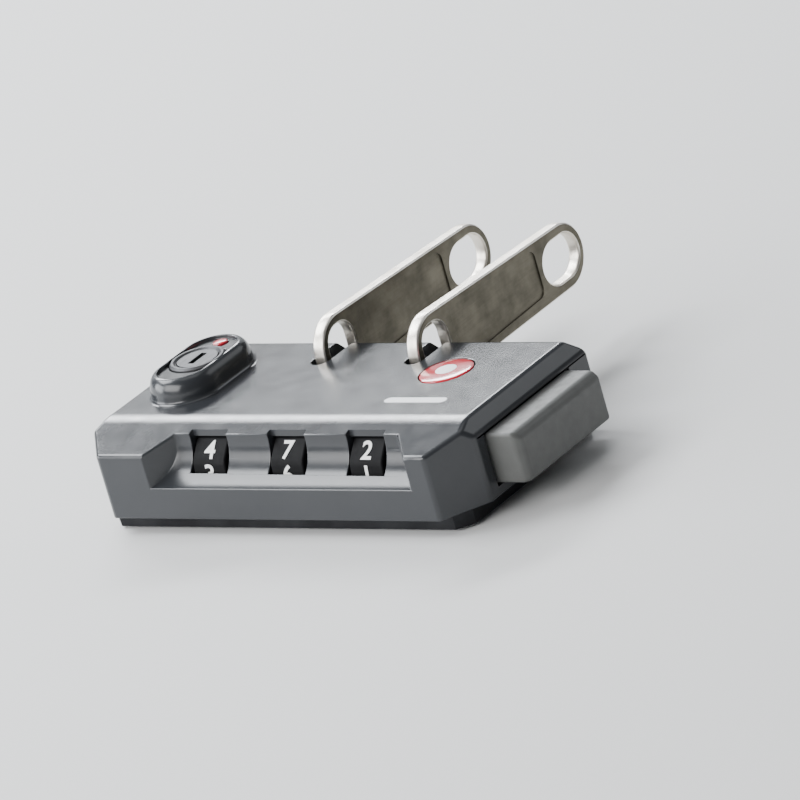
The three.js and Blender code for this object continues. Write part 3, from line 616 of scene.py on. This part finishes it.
def top_cover():
    bm = boolean(cover_blank(), inside_cutters())
    half_pocket = SLOT_HALF + SLOT_WALL
    pockets = []
    for x in PULLER_X:
        low = (x - half_pocket, SLOT_FRONT - SLOT_WALL, SLOT_FLOOR - SLOT_WALL)
        pockets.append(block(low, (x + half_pocket, INNER_BACK + 0.2, CEILING + 0.2)))
    bm = boolean(bm, pockets, "UNION")
    bm = boolean(bm, slot_cutters(PULLER_X[0]) + slot_cutters(PULLER_X[1]) + opening_cutters())
    round_edges(tidy(bm), 0.26, 3, 38, groove_edge)
    round_edges(bm, 0.14, 2, 38, lambda p: seen_edge(p) and not groove_edge(p))
    return finish_piece(bm, "cover_shell", "case", PAINT, ("top_cover",))


def boss_profile(foot=0.5, rim=1.25, wall=2.35, steps=9):
    """The boss's radius and height, from the fillet at its foot up its leaning wall to its rolled rim."""
    turns = [math.pi / 2 * i / steps for i in range(steps + 1)]
    profile = [(BOSS_RADIUS + foot, TOP - 0.05)]
    profile += [(BOSS_RADIUS + foot * (1 - math.sin(t)), TOP + foot * (1 - math.cos(t))) for t in turns]
    profile += [(BOSS_RADIUS - rim * (1 - math.cos(t)), BOSS_TOP - wall * (1 - math.sin(t))) for t in turns]
    return profile


def oval_boss():
    """The raised oval round the key cylinder, with a fillet at its foot, a rolled rim and a matte floor."""
    rings = []
    for radius, z in boss_profile():
        rings.append([(x, y, z) for x, y in stadium(PLUG.x, PLUG.y, BOSS_HALF_LINE, radius)])
    floor = BOSS_TOP - DISH_DEPTH
    cuts = [
        prism(stadium(PLUG.x, PLUG.y, BOSS_HALF_LINE, BOSS_RADIUS - BOSS_LIP), "z", floor, BOSS_TOP + 1),
        round_bar("z", (PLUG.x, PLUG.y), NECK_RADIUS + 0.1, TOP - 1, BOSS_TOP + 1, 72),
        round_bar("z", (DOT.x, DOT.y), DOT_RADIUS + 0.07, BOSS_TOP - 1, BOSS_TOP + 1, 40),
    ]
    bm = boolean(lofted(rings), cuts)
    inner = BOSS_RADIUS - BOSS_LIP + 0.15

    def at_dish(p):
        """Whether a point is on the dish's edges."""
        along = max(-BOSS_HALF_LINE, min(BOSS_HALF_LINE, p.y - PLUG.y))
        return p.z > floor - 0.05 and math.hypot(p.x - PLUG.x, p.y - PLUG.y - along) < inner

    round_edges(bm, 0.12, 2, 40, at_dish)
    for face in bm.faces:
        face.material_index = 1 if abs(face.calc_center_median().z - floor) < 0.01 else 0
    return finish_piece(bm, "key_boss", "case", [PAINT, CHASSIS_PLASTIC])


# ---------------------------------------------------------------- dials
def dial_outline():
    """Ten shallow number faces with a rounded rib between each two."""
    points = []
    for i in range(DIAL_FACES):
        middle = math.pi - FACE_PHASE + i * DIAL_STEP
        for k in range(-4, 5):
            turn = k * DIAL_STEP / 9.6
            radius = DIAL_FLAT / math.cos(min(abs(turn), DIAL_STEP * 0.43))
            angle = middle + turn
            points.append((DIAL_AXIS.y + radius * math.cos(angle), DIAL_AXIS.z + radius * math.sin(angle)))
    return points


def dial(index):
    x = DIAL_X[index]
    half = DIAL_WIDTH / 2
    bm = prism(dial_outline(), "x", x - half, x + half)
    round_edges(bm, 0.28, 3, 60)
    bm = boolean(bm, [round_bar("x", (DIAL_AXIS.y, DIAL_AXIS.z), DIAL_BORE, x - half - 1, x + half + 1, 40)])
    number = index + 1
    name, body, replaced = f"number_dial_{number}", f"dial_{number}", f"dial_wheel_{number}"
    return finish_piece(bm, name, body, DIAL_PLASTIC, (replaced,), 35)


def digit_mesh(text):
    """A number as a closed mesh centred on the origin, in the XY plane, in millimetres."""
    curve = bpy.data.curves.new("digit", "FONT")
    curve.body = text
    curve.size = DIGIT_HEIGHT / CAP_SHARE
    curve.offset = 0.06
    curve.extrude = DIGIT_THICK
    curve.align_x = "CENTER"
    curve.align_y = "CENTER"
    curve.resolution_u = 6
    text_object = bpy.data.objects.new("digit", curve)
    bpy.context.scene.collection.objects.link(text_object)
    bpy.context.view_layer.update()
    graph = bpy.context.evaluated_depsgraph_get()
    mesh = bpy.data.meshes.new_from_object(text_object.evaluated_get(graph))
    bm = bmesh.new()
    bm.from_mesh(mesh)
    bpy.data.meshes.remove(mesh)
    bpy.data.objects.remove(text_object)
    bpy.data.curves.remove(curve)
    bmesh.ops.remove_doubles(bm, verts=bm.verts, dist=1e-4)
    low = Vector((min(v.co.x for v in bm.verts), min(v.co.y for v in bm.verts), 0))
    high = Vector((max(v.co.x for v in bm.verts), max(v.co.y for v in bm.verts), 0))
    bmesh.ops.translate(bm, vec=-(low + high) / 2, verts=bm.verts)
    return bm


def dial_numbers(index, shown):
    """White numbers on a dial's faces; the one called shown is on the face that looks up and forward."""
    axis = Vector((DIAL_X[index], DIAL_AXIS.y, DIAL_AXIS.z))
    whole = bmesh.new()
    for i in range(DIAL_FACES):
        climb = FACE_PHASE + i * DIAL_STEP
        digit = digit_mesh(str((shown + i - 1) % DIAL_FACES))
        outward = Vector((0, -math.cos(climb), math.sin(climb)))
        upward = Vector((0, math.sin(climb), math.cos(climb)))
        turn = Matrix((Vector((1, 0, 0)), upward, outward)).transposed().to_4x4()
        place = Matrix.Translation(axis + outward * (DIAL_FLAT + 0.01)) @ turn
        bmesh.ops.transform(digit, matrix=place, verts=digit.verts)
        mesh = bpy.data.meshes.new("digit")
        digit.to_mesh(mesh)
        digit.free()
        whole.from_mesh(mesh)
        bpy.data.meshes.remove(mesh)
    return finish_piece(whole, f"dial_numbers_{index + 1}", f"dial_{index + 1}", NUMBER_PAINT)


# ---------------------------------------------------------------- push button
def push_button():
    """A hollow cap with a slanted front, a lip and a tongue that hold it behind the side wall, and a rib."""
    front, back, outer, top = BUTTON_FRONT, BUTTON_BACK, BUTTON_HIGH.x, BUTTON_TOP
    left, right = BUTTON_STOP
    rib, tongue, lip = BUTTON_RIB, BUTTON_TONGUE, BUTTON_LIP_LOW
    wall = BUTTON_WALL
    bm = block((BUTTON_INNER, front, BUTTON_LOW.z), (outer, back, top))
    sliced(bm, (outer - BUTTON_CHAMFER, 0, top), (1, 0, 1))
    sliced(bm, (outer - BUTTON_CHAMFER, front, 0), (1, -1, 0))
    round_edges(bm, 0.45, 4, 20, clamp=True)
    hollow = block(
        (BUTTON_INNER - 1, front + wall, BUTTON_LOW.z + wall),
        (outer - wall, back - wall, top - wall),
    )
    bm = boolean(bm, [hollow])
    joins = [
        block((22.3, rib[0], LATCH_LOW), (outer - wall + 0.1, rib[1], top - 0.2)),
        block((left, front, lip), (BUTTON_INNER + wall, front + wall, top - 0.1)),
        block((left, front - 0.9, lip), (right, front + 0.1, top - 0.1)),
        block((left, tongue[0], top - wall), (BUTTON_INNER + wall, tongue[1], top - 0.05)),
        block((left, tongue[0], top - 0.2), (right, tongue[1], top + 0.9)),
    ]
    bm = boolean(bm, joins, "UNION")
    return finish_piece(bm, "side_button", "button", BUTTON_PLASTIC, ("push_button",))


# ---------------------------------------------------------------- zip pullers
def quadratic(start, knee, end, steps):
    """Points on a curve from start to end, without the first."""
    made = []
    for i in range(1, steps + 1):
        t = i / steps
        weights = ((1 - t) ** 2, 2 * t * (1 - t), t * t)
        made.append(tuple(sum(w * p[k] for w, p in zip(weights, (start, knee, end))) for k in (0, 1)))
    return made


def puller_plan(inset=0.0):
    """A puller's outline in (y, z): a deep tip, a tapering web and a round far end."""
    fall = math.degrees(math.atan2(PULLER_NEAR[1] - PULLER_FAR[1], PULLER_FAR[0] - PULLER_NEAR[0]))
    toe_radius = PULLER_TOE_RADIUS - inset
    points = arc(PULLER_NEAR, PULLER_ROUND - inset, 90 - fall, 180, 22)
    points += arc(PULLER_TOE, toe_radius, 180, 270, 20)
    knee = (PULLER_TOE[0] + 2, PULLER_TOE[1] - toe_radius)
    points += quadratic(points[-1], knee, (PULLER_HEEL[0], PULLER_HEEL[1] + inset), 8)
    points += arc(PULLER_FAR, PULLER_ROUND - inset, -90, 90 - fall, 40)
    return points


def recess_plan():
    """The sunk field on a puller's broad faces, between the hook's hole and the eye."""
    r = 1.0
    near, far = FIELD
    top_near, top_far = PULLER_HIGH.z - 1.2, PULLER_HIGH.z - 1.8
    low = PULLER_LOW.z + 2.0
    return (
        arc((far - r, top_far - r), r, 0, 90, 8)
        + arc((near + r, top_near - r), r, 90, 180, 8)
        + arc((near + r, low + r), r, 180, 270, 8)
        + arc((far - r, low + 0.4 + r), r, 270, 360, 8)
    )


def eye_plan():
    y, z, half_length, radius = EYE
    return arc((y + half_length, z), radius, -90, 90, 24) + arc((y - half_length, z), radius, 90, 270, 24)


def rounded_rectangle(y, z, r):
    return (
        arc((y[1] - r, z[1] - r), r, 0, 90, 10)
        + arc((y[0] + r, z[1] - r), r, 90, 180, 10)
        + arc((y[0] + r, z[0] + r), r, 180, 270, 10)
        + arc((y[1] - r, z[0] + r), r, 270, 360, 10)
    )


def zipper_puller(index):
    """A plate whose edges are rubbed bright and whose broad faces and sunk field take a dark copy of the
    nickel, which is painted shade.
    """
    x = PULLER_X[index]
    half = (PULLER_HIGH.x - PULLER_LOW.x) / 2
    bm = prism(puller_plan(), "x", x - half, x + half)
    holes = [prism(rounded_rectangle(*HOOK_HOLE), "x", x - 3, x + 3), prism(eye_plan(), "x", x - 3, x + 3)]
    bm = boolean(bm, holes)
    round_edges(bm, 0.36, 4, 60)
    field = recess_plan()
    left, right = x - half + FIELD_DEPTH, x + half - FIELD_DEPTH
    bm = boolean(bm, [prism(field, "x", right, x + 3), prism(field, "x", x - 3, left)])
    round_edges(bm, 0.07, 2, 50, lambda p: abs(p.x - x) < half + 0.01)
    top, bottom = PULLER_HIGH.z - 1.0, PULLER_LOW.z + 1.8
    # The broad faces and the sunk field take the dark copy of the nickel, which is painted shade.
    for face in bm.faces:
        at = face.calc_center_median()
        in_field = FIELD[0] - 0.2 < at.y < FIELD[1] + 0.2 and bottom < at.z < top
        face.material_index = 1 if abs(face.normal.x) > 0.93 or in_field else 0
    name = f"puller_{index + 1}"
    metals = [NICKEL, SHADED_NICKEL]
    return finish_piece(bm, f"{name}_plate", name, metals, (f"zipper_{name}",))


# ---------------------------------------------------------------- key cylinder, badge and marks
def key_plug():
    """The plug's face with its keyway."""
    x, y, top = PLUG.x, PLUG.y, PLUG_HIGH.z
    radius = PLUG_RADIUS - 0.05
    face = top - 0.02
    profile = [(0, top - 3), (radius, top - 3), (radius, top - 0.3), (radius - 0.25, face), (0, face)]
    bm = turned(profile, x, y)
    half, reach = KEYWAY
    bm = boolean(bm, [block((x - half, y - reach, top - 2.6), (x + half, y + reach, top + 1))])
    round_edges(bm, 0.08, 2, 50)
    return finish_piece(bm, "key_plug_face", "key", CYLINDER_METAL)


def cylinder_collar():
    """The cylinder's mouth: a ring with a chamfer inside and outside."""
    top = BOSS_TOP - 0.05
    bore = PLUG_RADIUS + 0.12
    profile = [
        (bore, top - 3),
        (NECK_RADIUS, top - 3),
        (NECK_RADIUS, top - 0.25),
        (NECK_RADIUS - 0.25, top),
        (bore + 0.33, top),
        (bore, top - 0.3),
    ]
    bm = turned(profile + profile[:1], PLUG.x, PLUG.y, 72)
    bmesh.ops.remove_doubles(bm, verts=bm.verts, dist=1e-4)
    return finish_piece(bm, "cylinder_collar", "case", CYLINDER_METAL)


def domed_disc(radius, low, rim, rise):
    """The profile of a disc with a domed top."""
    dome = [(radius * math.cos(t), rim + rise * math.sin(t)) for t in (0.25, 0.5, 0.75, 1.0, 1.25)]
    return [(0, low), (radius, low), (radius, rim)] + dome + [(0, rim + rise)]


def badge():
    profile = domed_disc(BADGE_RADIUS, TOP - 0.4, TOP - 0.02, 0.22)
    bm = turned(profile, BADGE.x, BADGE.y, 72)
    return finish_piece(bm, "red_badge", "case", RED, ("status_badge",))


def badge_mark():
    """A plain white disc in the middle of the badge."""
    profile = domed_disc(BADGE_MARK_RADIUS, TOP + 0.1, TOP + 0.2, 0.05)
    return finish_piece(turned(profile, BADGE.x, BADGE.y, 48), "badge_dot", "case", WHITE_INK)


def white_bar():
    """A short white bar in front of the badge, with rounded ends."""
    x, y, half, r = BAR
    outline = arc((x + half - r, y), r, -90, 90, 12) + arc((x - half + r, y), r, 90, 270, 12)
    bm = prism(outline, "z", TOP - 0.03, TOP + 0.03)
    return finish_piece(bm, "white_bar", "case", WHITE_INK)


def red_dot():
    top = BOSS_TOP - 0.3
    profile = domed_disc(DOT_RADIUS, top - 0.6, top, 0.2)
    bm = turned(profile, DOT.x, DOT.y, 40)
    return finish_piece(bm, "red_dot", "case", RED, ("position_dot",))


# ---------------------------------------------------------------- springs
def coil_spring(name, node, body, joint, along, moving_end, wire, turns, travel, sides=10, steps=24):
    """A wound spring in its CAD node's place, along axis 0, 1 or 2. The joint, moving_end and travel
    arguments are not used."""
    corners = span(node)
    length = corners[1][along] - corners[0][along]
    across = (along + 1) % 3
    radius = (corners[1][across] - corners[0][across]) / 2 - wire
    axis = Vector((0, 0, 0))
    axis[along] = 1
    ring_angles = [TAU * k / sides for k in range(sides)]
    rings = []
    for i in range(turns * steps + 1):
        turn = TAU * i / steps
        out = Vector((0, 0, 0))
        out[across] = math.cos(turn)
        out[(along + 2) % 3] = math.sin(turn)
        middle = (corners[0] + corners[1]) / 2 + radius * out
        middle[along] = corners[0][along] + wire + (length - 2 * wire) * i / (turns * steps)
        rings.append([middle + wire * (math.cos(a) * out + math.sin(a) * axis) for a in ring_angles])
    piece = finish_piece(lofted(rings), name, body, STEEL, (node,))
    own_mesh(piece)


# ---------------------------------------------------------------- carried-over CAD nodes
def dress_nodes():
    """Gives every CAD node a finish; the looks table holds those that are neither brass nor steel by name."""
    looks = {
        "chassis": CHASSIS_PLASTIC,
        "clamp_frame": BLACK_ZINC,
        "cylinder_body": CYLINDER_METAL,
        "cylinder_plug": CYLINDER_METAL,
        "reset_button": BRASS,
        "key_cam": BRASS,
    }
    for name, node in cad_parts.items():
        brass = name.startswith(("clutch_sleeve", "wafer"))
        material = looks.get(name, BRASS if brass else STEEL)
        node.data.materials.clear()
        node.data.materials.append(material)


# ---------------------------------------------------------------- stage, camera and lights
def stage():
    bpy.ops.mesh.primitive_plane_add(size=4, location=(0, 0, -0.0002))
    floor = bpy.context.object
    floor.name = "floor"
    floor.data.materials.append(new_material("pale_floor", (0.64, 0.64, 0.635), 0.7)[0])


def camera():
    data = bpy.data.cameras.new("camera")
    made = bpy.data.objects.new("camera", data)
    bpy.context.scene.collection.objects.link(made)
    right = Vector(VIEW_RIGHT).normalized()
    toward = right.cross(Vector(VIEW_UP)).normalized()
    up = toward.cross(right)
    data.lens = LENS
    data.clip_start = 0.01
    turn = Matrix((right, up, toward)).transposed().to_4x4()
    made.matrix_world = Matrix.Translation(Vector(VIEW_TARGET) + toward * VIEW_DISTANCE) @ turn
    bpy.context.scene.camera = made


def soft_light(name, place, size, power, color=(1, 1, 1)):
    data = bpy.data.lights.new(name, "AREA")
    data.shape = "RECTANGLE"
    data.size, data.size_y = size
    data.energy = power
    data.color = color
    made = bpy.data.objects.new(name, data)
    bpy.context.scene.collection.objects.link(made)
    made.location = place
    made.rotation_euler = (-Vector(place)).to_track_quat("-Z", "Y").to_euler()


def lights():
    """A low key from the front, two at the left for the groove and the boss, a faint one behind for the right
    side's bevel, and at the back left a dim panel for the top's sheen, with a bright strip for the ridge."""
    world = bpy.data.worlds.new("studio")
    world.use_nodes = True
    background = world.node_tree.nodes["Background"]
    background.inputs["Color"].default_value = (0.92, 0.95, 1.0, 1)
    background.inputs["Strength"].default_value = 0.17
    bpy.context.scene.world = world
    cool = (0.94, 0.97, 1.0)
    soft_light("key", (-0.14, -0.50, 0.25), (0.50, 0.30), 4.0)
    soft_light("left", (-0.42, -0.06, 0.50), (0.42, 0.30), 6.2, cool)
    soft_light("low_left", (-0.53, -0.27, 0.15), (0.36, 0.26), 3.2, cool)
    soft_light("right_back", (0.36, 0.52, 0.36), (0.50, 0.30), 0.7, cool)
    soft_light("panel", (-0.43, 0.50, 0.24), (0.90, 0.36), 1.0, cool)
    soft_light("strip", (-0.43, 0.41, 0.38), (0.45, 0.08), 4.4, cool)
    soft_light("top", (0.05, 0.05, 0.70), (0.50, 0.50), 0.9)


camera()
lights()
stage()
top_cover()
oval_boss()
for number, shown in enumerate(NUMBERS_SHOWN):
    dial(number)
    dial_numbers(number, shown)
push_button()
for number in range(2):
    zipper_puller(number)
key_plug()
cylinder_collar()
badge()
badge_mark()
white_bar()
red_dot()
for spring in SPRINGS:
    coil_spring(*spring)
dress_nodes()
